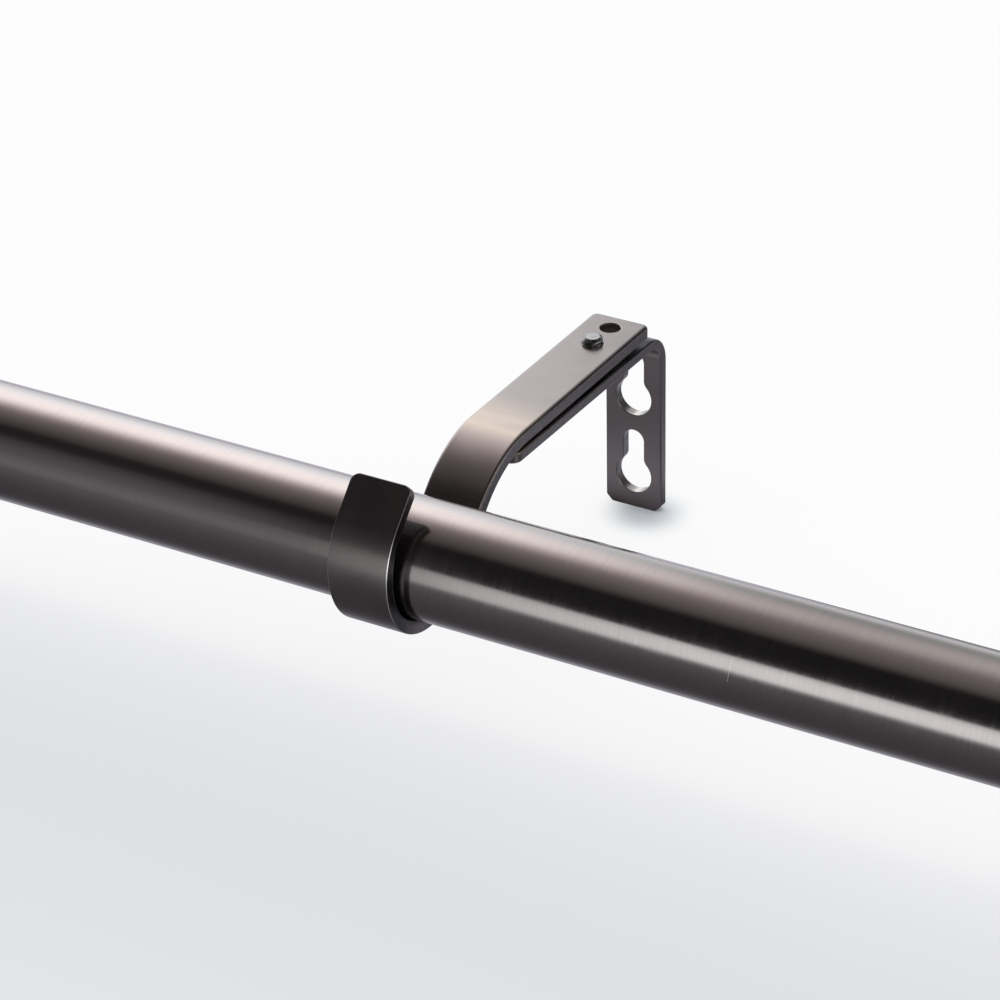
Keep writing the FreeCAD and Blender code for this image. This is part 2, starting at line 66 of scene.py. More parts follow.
class Graph:
    """A material or world being built, with short ways to add nodes."""

    def __init__(self, owner):
        owner.use_nodes = True
        self.tree = owner.node_tree
        self.tree.nodes.clear()

    def add(self, kind, inputs=None, **settings):
        """A node of this kind. Inputs are numbers, colours or other nodes' sockets, by name or number."""
        node = self.tree.nodes.new(kind)
        for name, value in settings.items():
            setattr(node, name, value)
        for key, value in (inputs or {}).items():
            if isinstance(value, bpy.types.NodeSocket):
                self.tree.links.new(value, node.inputs[key])
            else:
                node.inputs[key].default_value = value
        return node

    def where(self):
        """The point's place on the object."""
        return self.add("ShaderNodeTexCoord").outputs["Object"]

    def facing(self):
        """The way the surface looks, as the object lies."""
        return self.add("ShaderNodeTexCoord").outputs["Normal"]

    def split(self, vector):
        """The vector's three numbers."""
        parts = self.add("ShaderNodeSeparateXYZ", {"Vector": vector})
        return [parts.outputs[axis] for axis in "XYZ"]

    def maths(self, operation, *values, clamp=False):
        """The result of one arithmetic step."""
        node = self.add("ShaderNodeMath", dict(enumerate(values)), operation=operation, use_clamp=clamp)
        return node.outputs[0]

    def product(self, *values):
        """All the values multiplied."""
        result = values[0]
        for value in values[1:]:
            result = self.maths("MULTIPLY", result, value)
        return result

    def apart(self, first, second):
        """How far two numbers lie apart."""
        return self.maths("ABSOLUTE", self.maths("SUBTRACT", first, second))

    def distance(self, across, up):
        """The length of two offsets that lie square to each other."""
        squares = [self.maths("POWER", offset, 2.0) for offset in (across, up)]
        return self.maths("SQRT", self.maths("ADD", *squares))

    def spread(self, value, low, high, to_low=0.0, to_high=1.0, smooth=False):
        """The value carried from one range to another, and held inside it."""
        node = self.add(
            "ShaderNodeMapRange",
            {"Value": value, "From Min": low, "From Max": high, "To Min": to_low, "To Max": to_high},
            interpolation_type="SMOOTHSTEP" if smooth else "LINEAR",
        )
        return node.outputs["Result"]

    def rise(self, value, low, high):
        """0 up to the low value and 1 from the high one, with a soft step between."""
        return self.spread(value, low, high, smooth=True)

    def fall(self, value, low, high):
        """1 up to the low value and 0 from the high one, with a soft step between."""
        return self.spread(value, low, high, 1.0, 0.0, smooth=True)

    def ramp(self, value, stops):
        """A colour that follows the stops: pairs of place, from 0 to 1, and colour or brightness."""
        node = self.add("ShaderNodeValToRGB", {"Fac": value})
        elements = node.color_ramp.elements
        elements[0].position, elements[1].position = stops[0][0], stops[-1][0]
        elements[0].color = as_colour(stops[0][1])
        elements[1].color = as_colour(stops[-1][1])
        for place, colour in stops[1:-1]:
            elements.new(place).color = as_colour(colour)
        return node.outputs["Color"]

    def mix(self, share, first, second):
        """One colour blended into another."""
        node = self.add("ShaderNodeMix", {"Factor": share, "A": first, "B": second}, data_type="RGBA")
        return node.outputs["Result"]

    def noise(self, where, scale, detail=2.0):
        """Cloudy noise about 0.5."""
        node = self.add("ShaderNodeTexNoise", {"Vector": where, "Scale": scale, "Detail": detail})
        return node.outputs["Fac"]

    def streaks(self, where, scales, detail=2.0):
        """Noise with a scale for each axis, drawn out along the axes with the small ones."""
        scaled = self.add("ShaderNodeVectorMath", {0: where, 1: scales}, operation="MULTIPLY")
        return self.noise(scaled.outputs["Vector"], 1.0, detail)

    def bump(self, height, depth, strength):
        """The surface's normal over a relief of this depth."""
        inputs = {"Height": height, "Distance": depth, "Strength": strength}
        return self.add("ShaderNodeBump", inputs).outputs["Normal"]

    def coat(self, colour, roughness, normal, metallic=1.0):
        """Finish the material as a metal, or as something else where metallic is 0."""
        inputs = {"Base Color": colour, "Metallic": metallic, "Roughness": roughness, "Normal": normal}
        self.surface(self.add("ShaderNodeBsdfPrincipled", inputs))

    def glow(self, colour, strength):
        """A shader that gives its own light."""
        return self.add("ShaderNodeEmission", {"Color": colour, "Strength": strength})

    def surface(self, shader):
        """Finish the material with this shader."""
        self.add("ShaderNodeOutputMaterial", {"Surface": shader.outputs[0]})


def grey(brightness):
    """A colour without any tint."""
    return (brightness, brightness, brightness, 1.0)


def as_colour(value):
    """A colour as it is, or the grey of a plain brightness."""
    return value if isinstance(value, tuple) else grey(value)


def new_material(name):
    """An empty material and the graph that fills it."""
    material = bpy.data.materials.new(name)
    return material, Graph(material)


# Finishes. Noise scales are per metre, and noise is read between one of these two pairs of values.

NARROW = (0.35, 0.65)
WIDE = (0.3, 0.7)

TUBE_PALE = (0.318, 0.289, 0.279, 1.0)
TUBE_DEEP = (0.290, 0.263, 0.255, 1.0)
MARK_PALE = (0.95, 0.93, 0.92, 1.0)

FINE_STREAKS, FINE_SHARE = (5200, 60, 60), 0.45
BROAD_STREAKS, BROAD_SHARE = (1900, 90, 90), 0.55
PATCHES = (160, 320, 320)
HAIRS = (1900, 170, 170)
STREAK_CONTRAST = (0.32, 0.68)
HAIR_CONTRAST = (0.45, 0.72)
STREAKS_AND_PATCHES = (0.75, 1.25)
TUBE_SATIN = (0.1, 0.155)
HAIR_SATIN = 0.04
MARK_SATIN = 0.5
BRUSH_DEPTH = 0.0007 * MM

# Small marks on the outer tube: the place along it, the lean, the angles that the mark runs between
# (degrees up from the front) and half its width
MARKS = (
    (61.5 * MM, 0.25 * MM, 9.7, 18.8, 0.05 * MM),
    (82.2 * MM, 0.6 * MM, -0.5, 24.5, 0.045 * MM),
    (21.7 * MM, 0.0, 11.9, 13.9, 0.06 * MM),
    (78.3 * MM, 0.0, 35.8, 37.6, 0.11 * MM),
    (57.1 * MM, 0.0, 44.6, 46.0, 0.08 * MM),
)
MARK_END = 0.03
TUBE_SKIN = 12.3 * MM


def marks_on_tube(g, x, y, z):
    """1 on a mark, 0 elsewhere."""
    forward = g.maths("SUBTRACT", rod_axis.y, y)
    up = g.maths("SUBTRACT", z, rod_axis.z)
    angle = g.maths("ARCTAN2", up, forward)
    total = 0.0
    for place, lean, low, high, half_width in MARKS:
        low, high = math.radians(low), math.radians(high)
        line = g.spread(angle, low, high, place - lean / 2, place + lean / 2)
        across = g.spread(g.apart(x, line), 0.0, half_width, 1.0, 0.0)
        begun = g.spread(angle, low, low + MARK_END)
        not_ended = g.spread(angle, high - MARK_END, high, 1.0, 0.0)
        total = g.maths("ADD", total, g.product(across, g.product(begun, not_ended)))
    on_skin = g.maths("GREATER_THAN", g.distance(forward, up), TUBE_SKIN)
    return g.maths("MULTIPLY", total, on_skin, clamp=True)


def make_rod_finish():
    """Gunmetal plating on a tube, brushed round it: fine streaks across the rod that fray the reflections."""
    material, g = new_material("brushed_gunmetal")
    where = g.where()
    fine = g.streaks(where, FINE_STREAKS)
    broad = g.streaks(where, BROAD_STREAKS, detail=3.0)
    patches = g.streaks(where, PATCHES)
    hairs = g.spread(g.streaks(where, HAIRS, detail=1.0), *HAIR_CONTRAST)
    streak = g.maths("ADD", g.product(fine, FINE_SHARE), g.product(broad, BROAD_SHARE))
    marks = marks_on_tube(g, *g.split(where))
    colour = g.mix(g.spread(streak, *STREAK_CONTRAST), TUBE_DEEP, TUBE_PALE)
    roughness = g.spread(g.maths("ADD", streak, patches), *STREAKS_AND_PATCHES, *TUBE_SATIN)
    roughness = g.maths("ADD", roughness, g.product(hairs, HAIR_SATIN))
    roughness = g.maths("ADD", roughness, g.product(marks, MARK_SATIN))
    g.coat(g.mix(marks, colour, MARK_PALE), roughness, g.bump(broad, BRUSH_DEPTH, 0.5))
    return material


STRAP_PALE = (0.226, 0.203, 0.196, 1.0)
STRAP_DEEP = (0.206, 0.184, 0.178, 1.0)
# A warm painted highlight for the arm's front bend
BEND_HIGHLIGHT_TINT = (0.335, 0.284, 0.245, 1.0)
SIDE_PALE = (0.215, 0.2, 0.2, 1.0)
SIDE_DEEP = (0.145, 0.136, 0.137, 1.0)
LIP_SIDE_SHADE = (0.045, 0.042, 0.044, 1.0)
# Painted shade, inside the hook and at the wall bracket's crease
PAINTED_SHADE = (0.045, 0.042, 0.044, 1.0)
UNDER_ARM_SHADE = (0.014, 0.013, 0.014, 1.0)
PUNCHED_BARE_AND_LIT = (0.42, 0.395, 0.38, 1.0)
# A painted highlight for the lip's rounded edges
EDGE_HIGHLIGHT = (0.93, 0.91, 0.88, 1.0)
# The tapped holes' walls: brown thread lightened deep down as painted light, and painted shade near the top
TAPPED_BARE_AND_LIT = (0.115, 0.085, 0.078, 1.0)
TAPPED_SHADE = (0.034, 0.025, 0.023, 1.0)

GRAIN_SCALE = 1500.0
CLOUD_SCALE = 110.0
SHEAR_TRACKS = (260, 700, 2600)
HIGHLIGHT_TRACKS = (60, 400, 400)
STRAP_SATIN = (0.245, 0.285)
SHEARED_SATIN = (0.05, 0.14)
STRAP_RELIEF = 0.03 * MM

# Where the strap changes its look, out from the wall (y) or up (z)
BEND_HIGHLIGHT_SPAN = (-71.0 * MM, -64.5 * MM, -62.5 * MM, -50.0 * MM)
HOOK_ENDS = (-100.0 * MM, -90.0 * MM)
LIP_SIDES = (-117.0 * MM, -109.0 * MM)
LIP_EDGE = (-120.0 * MM, -117.0 * MM)
CREASE = (-21.0 * MM, -16.0 * MM)
CREASE_HEIGHT = (24.0 * MM, 28.0 * MM)
CREASE_TOP = (31.5 * MM, 32.0 * MM)
PUNCHED_BACK = -2.6 * MM
PUNCHED_TOP = 22.0 * MM
TAPPED_DEPTH = (30.6 * MM, 32.2 * MM)
HOLE_PITCH = 8.2 * MM
TAPPED_OUT = 2.35 * MM
TAPPED_CLEAR = 0.05 * MM

# How far the surface looks sideways on a sheared side and on the lip's edge with its painted highlight, or up
SHEARED_SIDE = (0.82, 0.97)
EDGE_HIGHLIGHT_SIDE = (0.3, 0.45)
LEVEL = (0.93, 0.99)
PARTLY_UP = (0.3, 0.8)
TOWARD_ROD = 5 * MM
CREASE_SHARE = 0.75


def inside_of_hook(g, y, z, look_y, look_z):
    """1 on the hook's and lip's faces that look at the rod, where shade is painted, 0 elsewhere."""
    toward_y = g.product(g.maths("SUBTRACT", rod_axis.y, y), look_y)
    toward_z = g.product(g.maths("SUBTRACT", rod_axis.z, z), look_z)
    inward = g.maths("GREATER_THAN", g.maths("ADD", toward_y, toward_z), TOWARD_ROD)
    return g.product(inward, g.fall(y, *HOOK_ENDS))


def in_tapped_hole(g, x, y, z):
    """1 on the walls of the arms' spare tapped holes, 0 elsewhere."""
    from_left = g.apart(x, clamp_screw.x)
    from_right = g.apart(x, clamp_screw.x + bracket_spacing)
    aside = g.maths("MINIMUM", from_left, from_right)
    along = g.maths("SUBTRACT", y, clamp_screw.y + HOLE_PITCH)
    above = g.maths("GREATER_THAN", z, tongue_top + TAPPED_CLEAR)
    return g.product(above, g.maths("LESS_THAN", g.distance(aside, along), TAPPED_OUT))


def painted_bend_highlight(g, where, y):
    """How strongly the painted highlight shows on the arm's front bend, from 0 to 1."""
    patchy = g.spread(g.streaks(where, HIGHLIGHT_TRACKS), 0.2, 0.6, 0.6, 1.0)
    return g.product(g.rise(y, *BEND_HIGHLIGHT_SPAN[:2]), g.fall(y, *BEND_HIGHLIGHT_SPAN[2:]), patchy)


def by_the_crease(g, y, z):
    """1 at the wall bracket's bend, where the arm keeps the light off, 0 elsewhere."""
    return g.product(g.rise(y, *CREASE), g.rise(z, *CREASE_HEIGHT), g.spread(z, *CREASE_TOP, 1.0, 0.0))


def bare_and_lit_punched_walls(g, y, z, look_z):
    """How much of the bare punched metal shows on the keyholes' lower sides, made paler as a painted
    highlight where they look up, from 0 to 1.
    """
    behind = g.maths("GREATER_THAN", y, PUNCHED_BACK)
    below = g.maths("LESS_THAN", z, PUNCHED_TOP)
    return g.product(g.spread(look_z, *PARTLY_UP), behind, below)


def lip_edge_highlight(g, y, sideways, tracks):
    """How strongly the painted highlight shows on the lip's rounded edges, from 0 to 1."""
    patchy = g.spread(tracks, 0.3, 0.5, 0.75, 1.0)
    return g.product(g.spread(sideways, *EDGE_HIGHLIGHT_SIDE), g.fall(y, *LIP_EDGE), patchy)


def make_strap_finish():
    """The same plating on bent flat bar: satin, a little darker, its sheared sides dark and rough. It carries
    painted highlights on the arm's bend, the lip's edges and the keyholes' lower sides, painted shade inside
    the hook, on the lip's sides and at the wall bracket's crease, and painted light and shade in the tapped
    holes.
    """
    material, g = new_material("satin_gunmetal")
    where = g.where()
    x, y, z = g.split(where)
    look_x, look_y, look_z = g.split(g.facing())
    sideways = g.maths("ABSOLUTE", look_x)
    grain = g.noise(where, GRAIN_SCALE)
    cloud = g.noise(where, CLOUD_SCALE)
    tracks = g.streaks(where, SHEAR_TRACKS, detail=3.0)

    inside = inside_of_hook(g, y, z, look_y, look_z)
    crease = by_the_crease(g, y, z)
    face = g.mix(g.spread(cloud, *NARROW), STRAP_DEEP, STRAP_PALE)
    # A painted highlight, warm and patchy, across the arm's front bend
    face = g.mix(painted_bend_highlight(g, where, y), face, BEND_HIGHLIGHT_TINT)
    # Painted shade on the hook's and lip's faces that look at the rod
    face = g.mix(inside, face, PAINTED_SHADE)
    # Painted shade at the wall bracket's crease, deepest on its level faces under the arm
    face = g.mix(g.product(crease, CREASE_SHARE), face, PAINTED_SHADE)
    face = g.mix(g.product(crease, g.rise(look_z, *LEVEL)), face, UNDER_ARM_SHADE)
    # Bare punched metal with a painted highlight on the keyholes' upward-looking lower sides
    face = g.mix(bare_and_lit_punched_walls(g, y, z, look_z), face, PUNCHED_BARE_AND_LIT)
    # A painted highlight along the lip's rounded edges
    face = g.mix(lip_edge_highlight(g, y, sideways, tracks), face, EDGE_HIGHLIGHT)

    side = g.mix(g.spread(tracks, *NARROW), SIDE_DEEP, SIDE_PALE)
    # Painted shade on the sides of the lip, in front of the rod
    side = g.mix(g.fall(y, *LIP_SIDES), side, LIP_SIDE_SHADE)

    tapped = in_tapped_hole(g, x, y, z)
    # Painted shade on the tapped holes' upper walls, painted light on their brown thread deeper down
    thread = g.mix(g.rise(z, *TAPPED_DEPTH), TAPPED_BARE_AND_LIT, TAPPED_SHADE)

    sheared = g.rise(sideways, *SHEARED_SIDE)
    colour = g.mix(tapped, g.mix(sheared, face, side), thread)
    # The painted shade inside the hook and the painted light and shade in the tapped holes are not metal
    metallic = g.maths("SUBTRACT", 1.0, g.maths("MAXIMUM", inside, tapped))
    satin = g.spread(cloud, *WIDE, *STRAP_SATIN)
    rough = g.product(sheared, g.spread(grain, *WIDE, *SHEARED_SATIN))
    g.coat(colour, g.maths("ADD", satin, rough), g.bump(cloud, STRAP_RELIEF, 0.25), metallic)
    return material


CAP_RINGS = (2600, 2600, 1)
CAP_SATIN = (0.16, 0.21)
CAP_RELIEF = 0.0015 * MM


def make_cap_finish():
    """The plating on a turned cap: fine rings about the rod's axis."""
    material, g = new_material("turned_gunmetal")
    x, y, z = g.split(g.where())
    out = g.distance(g.maths("SUBTRACT", y, rod_axis.y), g.maths("SUBTRACT", z, rod_axis.z))
    rings_at = g.add("ShaderNodeCombineXYZ", {"X": out, "Y": x}).outputs[0]
    rings = g.streaks(rings_at, CAP_RINGS)
    colour = g.mix(g.spread(rings, *NARROW), TUBE_DEEP, TUBE_PALE)
    g.coat(colour, g.spread(rings, *WIDE, *CAP_SATIN), g.bump(rings, CAP_RELIEF, 0.4))
    return material


MOTTLE_SCALE = 900.0
SCREW_SATIN = (0.17, 0.27)
SCREW_RELIEF = 0.01 * MM


def make_screw_finish(name, deep, pale):
    """Blackened steel on small turned parts, slightly mottled between two greys."""
    material, g = new_material(name)
    mottle = g.noise(g.where(), MOTTLE_SCALE, detail=3.0)
    colour = g.mix(g.spread(mottle, *WIDE), grey(deep), grey(pale))
    g.coat(colour, g.spread(mottle, *WIDE, *SCREW_SATIN), g.bump(mottle, SCREW_RELIEF, 0.3))
    return material


NYLON_DEEP = (0.018, 0.018, 0.019, 1.0)
NYLON_PALE = (0.034, 0.033, 0.033, 1.0)
NYLON_GRAIN = 2400.0
NYLON_CLOUD = 120.0
NYLON_SATIN = (0.42, 0.55)
NYLON_RELIEF = 0.03 * MM


def make_guide_finish():
    """Black moulded nylon with a fine spark-eroded grain."""
    material, g = new_material("black_nylon")
    where = g.where()
    grain = g.noise(where, NYLON_GRAIN, detail=3.0)
    colour = g.mix(g.noise(where, NYLON_CLOUD), NYLON_DEEP, NYLON_PALE)
    roughness = g.spread(grain, *WIDE, *NYLON_SATIN)
    g.coat(colour, roughness, g.bump(grain, NYLON_RELIEF, 0.35), metallic=0.0)
    return material


FINISHES = {
    "rod_tube": make_rod_finish(),
    "bracket_strap": make_strap_finish(),
    "cap_metal": make_cap_finish(),
    "screw_steel": make_screw_finish("blackened_steel", 0.2, 0.29),
    "guide_plastic": make_guide_finish(),
}


def dress_nodes():
    """Give each CAD node the finish of its material slot."""
    for part in frame["record"]["subparts"]:
        node = frame["nodes"][part["node"]]
        for slot in node.material_slots:
            slot.material = FINISHES[part["material_slot"]]


def new_piece(name, mesh, material):
    """A Blender object from a finished bmesh."""
    data = bpy.data.meshes.new(name)
    mesh.to_mesh(data)
    mesh.free()
    data.materials.append(material)
    piece = bpy.data.objects.new(name, data)
    bpy.context.scene.collection.objects.link(piece)
    return piece


# The clamp screws' threads

THREAD_FINISH = make_screw_finish("worn_thread", 0.2, 0.34)
THREAD_PITCH = 0.8 * MM
THREAD_CREST = 2.45 * MM
THREAD_ROOT = 2.2 * MM
THREAD_CREST_WIDTH = 0.12 * MM
THREAD_ROOT_WIDTH = 0.84 * THREAD_PITCH
THREAD_RUNOUT = 0.6 * MM
TURN_STEPS = 36
FADE_STEPS = TURN_STEPS / 2
LEAST_HEIGHT = 0.02


def add_thread(side):
    """A helical ridge on the clamp screw's shank, from under its point down to its washer."""
    screw = middle(f"{side}_clamp_screw")
    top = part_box(f"{side}_clamp_screw")[1].z - THREAD_RUNOUT
    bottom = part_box(f"{side}_washer")[1].z + THREAD_PITCH
    steps = int((top - bottom) / THREAD_PITCH * TURN_STEPS)
    half_root = THREAD_ROOT_WIDTH / 2
    half_crest = THREAD_CREST_WIDTH / 2
    section = (
        (THREAD_ROOT, -half_root),
        (THREAD_CREST, -half_crest),
        (THREAD_CREST, half_crest),
        (THREAD_ROOT, half_root),
    )
    mesh = bmesh.new()
    rings = []
    for step in range(steps + 1):
        angle = math.tau * step / TURN_STEPS
        height = bottom + THREAD_PITCH * step / TURN_STEPS
        fade = min(1.0, step / FADE_STEPS, (steps - step) / FADE_STEPS)
        ring = []
        for out, rise in section:
            reach = THREAD_ROOT + (out - THREAD_ROOT) * max(fade, LEAST_HEIGHT)
            point = (
                screw.x + math.cos(angle) * reach,
                screw.y + math.sin(angle) * reach,
                height + rise,
            )
            ring.append(mesh.verts.new(point))
        rings.append(ring)
    for first, second in zip(rings, rings[1:]):
        for corner in range(len(section)):
            following = (corner + 1) % len(section)
            mesh.faces.new((first[corner], second[corner], second[following], first[following]))
    mesh.faces.new(rings[0])
    mesh.faces.new(rings[-1][::-1])
    bmesh.ops.recalc_face_normals(mesh, faces=mesh.faces)
    piece = new_piece(f"{side}_screw_thread", mesh, THREAD_FINISH)
    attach(piece, "carriage")


# The floor and the world

FLOOR_SIZE = 12.0
FLOOR_PALE = (0.91, 0.925, 0.94, 1.0)
FLOOR_SHADOW_GREY = (0.66, 0.67, 0.7, 1.0)
FLOOR_FAR = (0.99, 0.99, 0.995, 1.0)
FLOOR_SHADE = (0.72, 0.755, 0.8, 1.0)
FLOOR_LIFT = 0.83

# The painted soft shadow in front of the rod: its reach from front to wall, how far it is from grey to white
# over that reach, the middle of its length, and where it ends on both sides of that
FLOOR_REACH = (-0.56, 0.0)
FLOOR_SHADOW_DEPTH = (
    (0.0, 1.0), (0.2, 0.93), (0.4, 0.62), (0.55, 0.32), (0.65, 0.19), (0.714, 0.16), (0.748, 0.24),
    (0.787, 0.42), (0.811, 0.6), (0.826, 0.82), (0.8375, 0.9), (0.852, 0.94), (0.88, 0.97),
    (0.91, 0.985), (1.0, 1.0),
)
FLOOR_MIDDLE = 0.13
FLOOR_ENDS = (0.3, 0.75)

# The shade at the foot of each plate: its centre, and where it starts and stops to fade
LEFT_SHADE = Vector((4.0, -4.0, 0.0)) * MM
RIGHT_SHADE = LEFT_SHADE + Vector((bracket_spacing, 0.0, 0.0))
SHADE_FADE = (3.0 * MM, 13.0 * MM)

WORLD_COLOUR = (1.0, 1.0, 1.0, 1.0)
WORLD_STRENGTH = 1.03


def flat_sheet(size):
    """A square mesh that lies level."""
    mesh = bmesh.new()
    bmesh.ops.create_grid(mesh, x_segments=1, y_segments=1, size=size / 2)
    return mesh


def make_floor():
    """A plain pale floor at the foot of the wall brackets, its wide shadows lifted except at their plates,
    where its colour is darkened as painted shade, and with a painted soft shadow in front of the rod.
    """
    material, g = new_material("pale_floor")
    where = g.where()
    x, y, z = g.split(where)
    left, right = (
        g.add("ShaderNodeVectorMath", {0: where, 1: centre}, operation="DISTANCE").outputs["Value"]
        for centre in (LEFT_SHADE, RIGHT_SHADE)
    )
    clear = g.rise(g.maths("MINIMUM", left, right), *SHADE_FADE)
    # A painted soft shadow in front of the rod, grey in the floor's glow
    depth = g.ramp(g.spread(y, *FLOOR_REACH), FLOOR_SHADOW_DEPTH)
    white = g.maths("MAXIMUM", depth, g.rise(g.apart(x, FLOOR_MIDDLE), *FLOOR_ENDS))
    # At the plates' feet the floor's colour is darkened as painted shade
    shaded = g.add("ShaderNodeBsdfDiffuse", {"Color": g.mix(clear, FLOOR_SHADE, FLOOR_PALE)})
    lifted = g.glow(g.mix(white, FLOOR_SHADOW_GREY, FLOOR_FAR), 1.0)
    inputs = {0: g.product(clear, FLOOR_LIFT), 1: shaded.outputs[0], 2: lifted.outputs[0]}
    g.surface(g.add("ShaderNodeMixShader", inputs))
    floor = new_piece("floor", flat_sheet(FLOOR_SIZE), material)
    floor.location = (0, 0, plate_foot)
    floor.visible_glossy = False


def make_world():
    """Plain white light from all round."""
    world = bpy.data.worlds.new("studio")
    bpy.context.scene.world = world
    g = Graph(world)
    background = g.add("ShaderNodeBackground", {"Color": WORLD_COLOUR, "Strength": WORLD_STRENGTH})
    g.add("ShaderNodeOutputWorld", {"Surface": background.outputs[0]})


# The cards that only the metal sees. The bent ones go round the rod's axis. Their angles are in degrees
# from the front, upwards and over to the wall, and their stops are pairs of angle and brightness or tint.

MAUVE = (1.0, 0.885, 0.915, 1.0)
WARM_WHITE = (0.92, 0.885, 0.881, 1.0)
COOL_WHITE = (0.856, 0.885, 0.916, 1.0)
COOL_DARK = (0.94, 0.93, 1.0, 1.0)
LOW_TINT = (0.945, 0.93, 1.04, 1.0)
ARC_STEPS = 48

# Stops of a card's left and right parts, and stops of the share of the right one over a stretch of x.
# FAR_FROM is a stretch of x too, and FADE is one with the shares of the light left at its two ends.
TOP_RADIUS, TOP_ANGLES, TOP_WIDTH, TOP_STRENGTH = 0.7, (60, 180), (-1.6, 1.6), 3.24
TOP_TINTS = (
    (60, MAUVE), (102, MAUVE), (120, WARM_WHITE), (131, WARM_WHITE), (156, COOL_WHITE), (180, COOL_WHITE),
)
TOP_LEFT = (
    (60, 0.012), (64, 0.02), (70, 0.042), (78, 0.065), (86, 0.095), (94, 0.13), (102, 0.215), (111, 0.45),
    (120, 0.8), (129, 0.97), (142, 0.96), (150, 0.87), (158, 0.76), (168, 0.55), (180, 0.4),
)
TOP_RIGHT = (
    (60, 0.012), (64, 0.025), (70, 0.06), (78, 0.088), (86, 0.105), (94, 0.128), (102, 0.175), (111, 0.28),
    (120, 0.36), (129, 0.37), (142, 0.3), (150, 0.25), (158, 0.235), (168, 0.37), (180, 0.45),
)
TOP_SHARE_OVER = (-0.4, -0.18)
TOP_SHARE = (
    (0.15, 0.0), (0.3, 0.1), (0.43, 0.3), (0.56, 0.45), (0.67, 0.62), (0.82, 0.83), (0.94, 0.96), (1.0, 1.0),
)
TOP_FADE = (-0.03, 0.16, 1.0, 0.1)
TOP_FAR = ((60, 0.2), (90, 0.3), (120, 0.36), (150, 0.3), (180, 0.3))
TOP_FAR_FROM = (0.55, 0.95)

STRIP_RADIUS, STRIP_ANGLES, STRIP_WIDTH, STRIP_STRENGTH = 0.13, (-28, 18), (-1.2, 1.2), 2.27
STRIP_TINTS = ((-28, COOL_WHITE), (18, COOL_WHITE))
STRIP_LEFT = (
    (-28, 0.09), (-22, 0.105), (-16, 0.125), (-8, 0.175), (0, 0.18), (8, 0.155), (13, 0.14), (18, 0.11),
)
STRIP_RIGHT = (
    (-28, 0.13), (-22, 0.145), (-17.5, 0.175), (-14.5, 0.27), (-12, 0.55), (-9.5, 0.88), (-6, 0.99),
    (-2, 1.0), (5, 0.99), (10, 0.9), (14.5, 0.72), (16, 0.3), (18, 0.02),
)
STRIP_SHARE_OVER = (-0.08, 0.05)
STRIP_SHARE = (
    (0.0, 0.0), (0.2, 0.25), (0.33, 0.52), (0.45, 0.66), (0.58, 0.77), (0.7, 0.86), (0.82, 0.94), (1.0, 1.0),
)

DARK_RADIUS, DARK_ANGLES, DARK_WIDTH, DARK_STRENGTH = 0.72, (14, 64), (-1.6, 1.6), 1.0
DARK_TINTS = ((14, COOL_DARK), (64, COOL_DARK))
DARK_LEFT = ((14, 0.27), (19, 0.25), (26, 0.225), (33, 0.175), (41, 0.12), (48, 0.05), (64, 0.035))
DARK_RIGHT = ((14, 0.12), (20, 0.07), (28, 0.035), (40, 0.03), (52, 0.03), (60, 0.025), (64, 0.02))
DARK_SHARE_OVER = (-0.46, -0.32)
DARK_SHARE = ((0.0, 0.0), (0.3, 0.35), (1.0, 1.0))
DARK_FAR = ((14, 0.55), (30, 0.6), (42, 0.4), (50, 0.12), (64, 0.1))
DARK_FAR_FROM = (0.12, 0.5)

GLINT_RADIUS, GLINT_ANGLES, GLINT_WIDTH, GLINT_STRENGTH = 0.3, (19, 64), (0.24, 0.55), 1.3

# The low card lies in the floor's place. Its stops are pairs of y and brightness.
LOW_SIZE = 8.0
LOW_DROP = 0.2 * MM
LOW_REACH = (-0.36, 0.04)
LOW_FRONT = (
    (-0.36, 0.34), (-0.228, 0.27), (-0.187, 0.22), (-0.162, 0.18), (-0.134, 0.14), (-0.118, 0.13),
    (-0.108, 0.2), (-0.098, 0.42), (-0.085, 0.52),
)
LOW_LEFT = LOW_FRONT + (
    (-0.06, 0.37), (-0.045, 0.3), (-0.03, 0.42), (-0.017, 0.64), (-0.008, 0.4), (-0.002, 0.08),
    (0.004, 0.1), (0.014, 0.75), (0.04, 0.8),
)
LOW_RIGHT = LOW_FRONT + (
    (-0.06, 0.3), (-0.045, 0.14), (-0.02, 0.12), (-0.002, 0.38), (0.012, 0.6), (0.025, 0.5), (0.04, 0.3),
)
LOW_FAR = LOW_FRONT + ((-0.06, 0.5), (-0.03, 0.8), (0.04, 0.8))
LOW_RIGHT_FROM = (-0.005, 0.03)
LOW_FAR_FROM = (0.14, 0.24)

ROOM_RADIUS = 5.0
ROOM_STRENGTH = 0.25


def only_in_metal(piece):
    """A card or light that shows in reflections and nowhere else."""
    piece.visible_camera = False
    piece.visible_diffuse = False
    piece.visible_shadow = False


def arc_panel(name, radius, angles, width, material):
    """A panel bent about the rod's axis, between two angles and two places along the rod."""
    first, last = angles
    mesh = bmesh.new()
    edges = []
    for step in range(ARC_STEPS + 1):
        angle = math.radians(first + (last - first) * step / ARC_STEPS)
        y = rod_axis.y - radius * math.cos(angle)
        z = rod_axis.z + radius * math.sin(angle)
        edges.append([mesh.verts.new((x, y, z)) for x in width])
    for (a, b), (c, d) in zip(edges, edges[1:]):
        mesh.faces.new((a, b, d, c))
    only_in_metal(new_piece(name, mesh, material))


def in_range(stops, limits):
    """Stops with their places carried from the limits to 0 and 1."""
    low, high = limits
    return [((place - low) / (high - low), level) for place, level in stops]


def plain_light(name, colour, strength):
    """Even light all over a card."""
    material, g = new_material(name)
    g.surface(g.glow(colour, strength))
    return material


